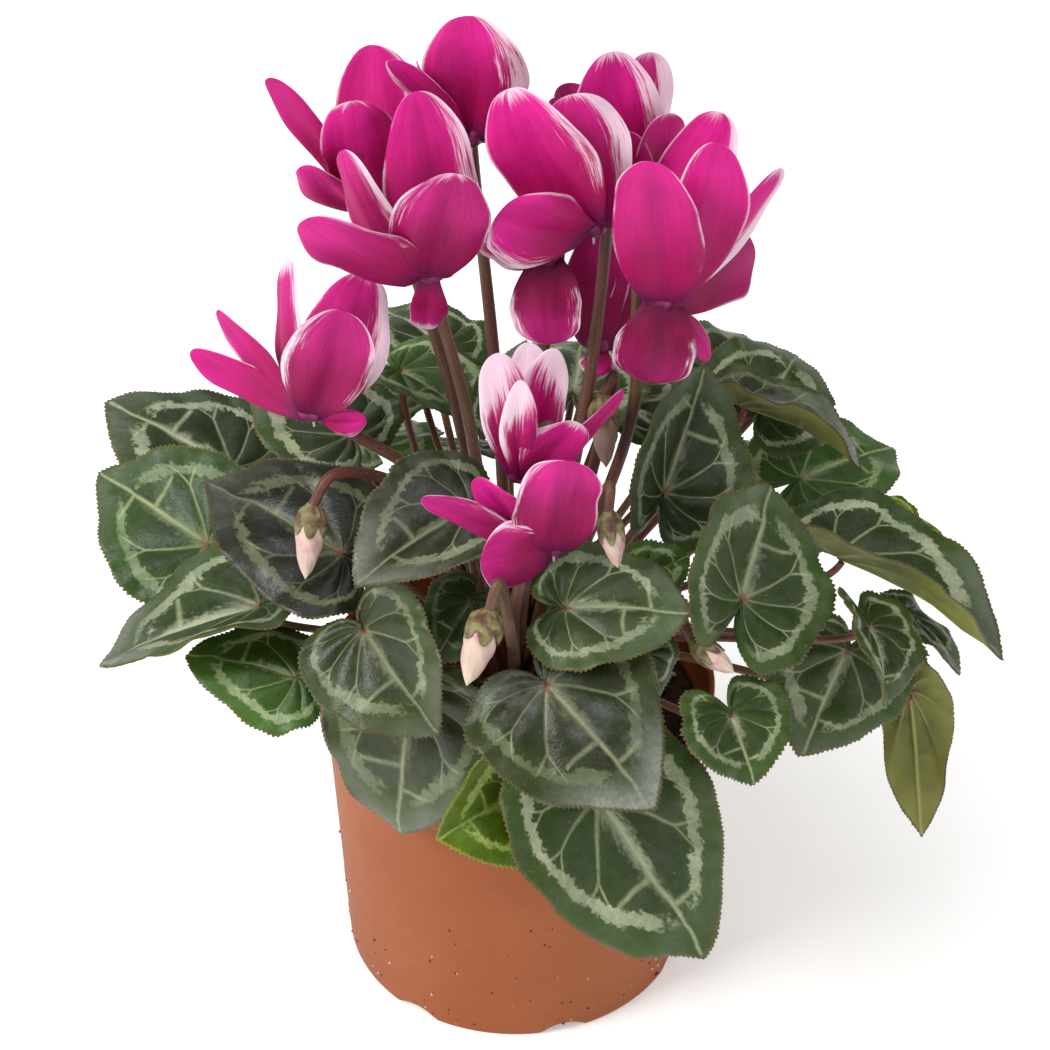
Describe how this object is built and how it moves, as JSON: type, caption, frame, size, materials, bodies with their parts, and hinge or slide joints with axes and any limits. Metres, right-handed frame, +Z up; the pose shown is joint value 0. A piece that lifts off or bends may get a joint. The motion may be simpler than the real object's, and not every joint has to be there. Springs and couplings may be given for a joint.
{
  "type": "potted plant",
  "caption": "Cyclamen in a terracotta-coloured plastic nursery pot, with magenta blooms over silver-marked heart-shaped leaves.",
  "frame": {"origin": "centre of the pot's flat base, on the surface that it stands on", "axes": "+Z up along the pot's axis, -Y towards the front of the picture, +X to its right"},
  "size_m": [0.2467, 0.1976, 0.2882],
  "materials": {
    "terracotta_plastic": "matte",
    "potting_soil": "rough",
    "tuber_skin": "rough",
    "leaf_stalk": "satin",
    "flower_stalk": "satin",
    "leaf": "satin",
    "petal": "matte",
    "bud": "matte"
  },
  "bodies": {
    "root": {"pot": "terracotta_plastic", "soil": "potting_soil", "tuber": "tuber_skin", "leaf_stalks": "leaf_stalk", "flower_stalks": "flower_stalk", "leaf_front_low_right": "leaf", "leaf_front_mid": "leaf", "leaf_front_low_bright": "leaf", "leaf_front_low_left": "leaf", "leaf_front_left_folded": "leaf", "leaf_left_low": "leaf", "leaf_left_long": "leaf", "leaf_left_mid": "leaf", "leaf_left_back": "leaf", "leaf_left_inner_back": "leaf", "leaf_left_inner": "leaf", "leaf_centre_large": "leaf", "leaf_centre_curled": "leaf", "leaf_back_left_top": "leaf", "leaf_centre_back": "leaf", "leaf_right_upright": "leaf", "leaf_right_front_large": "leaf", "leaf_front_upper": "leaf", "leaf_front_cupped": "leaf", "leaf_front_heart": "leaf", "leaf_right_low": "leaf", "leaf_right_heart": "leaf", "leaf_right_long": "leaf", "leaf_right_back": "leaf", "leaf_back_right_top": "leaf", "leaf_right_folded": "leaf", "leaf_back_right_pale": "leaf", "leaf_right_bright_edge": "leaf", "leaf_right_under": "leaf", "leaf_right_hanging": "leaf", "leaf_front_shaded_right": "leaf", "leaf_front_shaded_left": "leaf", "leaf_front_gap": "leaf", "leaf_back_left_low": "leaf", "leaf_back_mid_low": "leaf", "leaf_back_right_low": "leaf", "leaf_back_mid_high": "leaf", "leaf_back_left_inner": "leaf", "leaf_back_right_inner": "leaf", "bloom_left": "petal", "bloom_upper_left_back": "petal", "bloom_upper_left_front": "petal", "bloom_top": "petal", "bloom_upper_centre": "petal", "bloom_upper_right_back": "petal", "bloom_upper_right_front": "petal", "bloom_centre_small": "petal", "bloom_front_upper": "petal", "bloom_front_lower": "petal", "bloom_right_shaded": "petal", "bud_left": "bud", "bud_front": "bud", "bud_front_right": "bud", "bud_right_low": "bud", "bud_faded": "bud"}
  },
  "joints": []
}
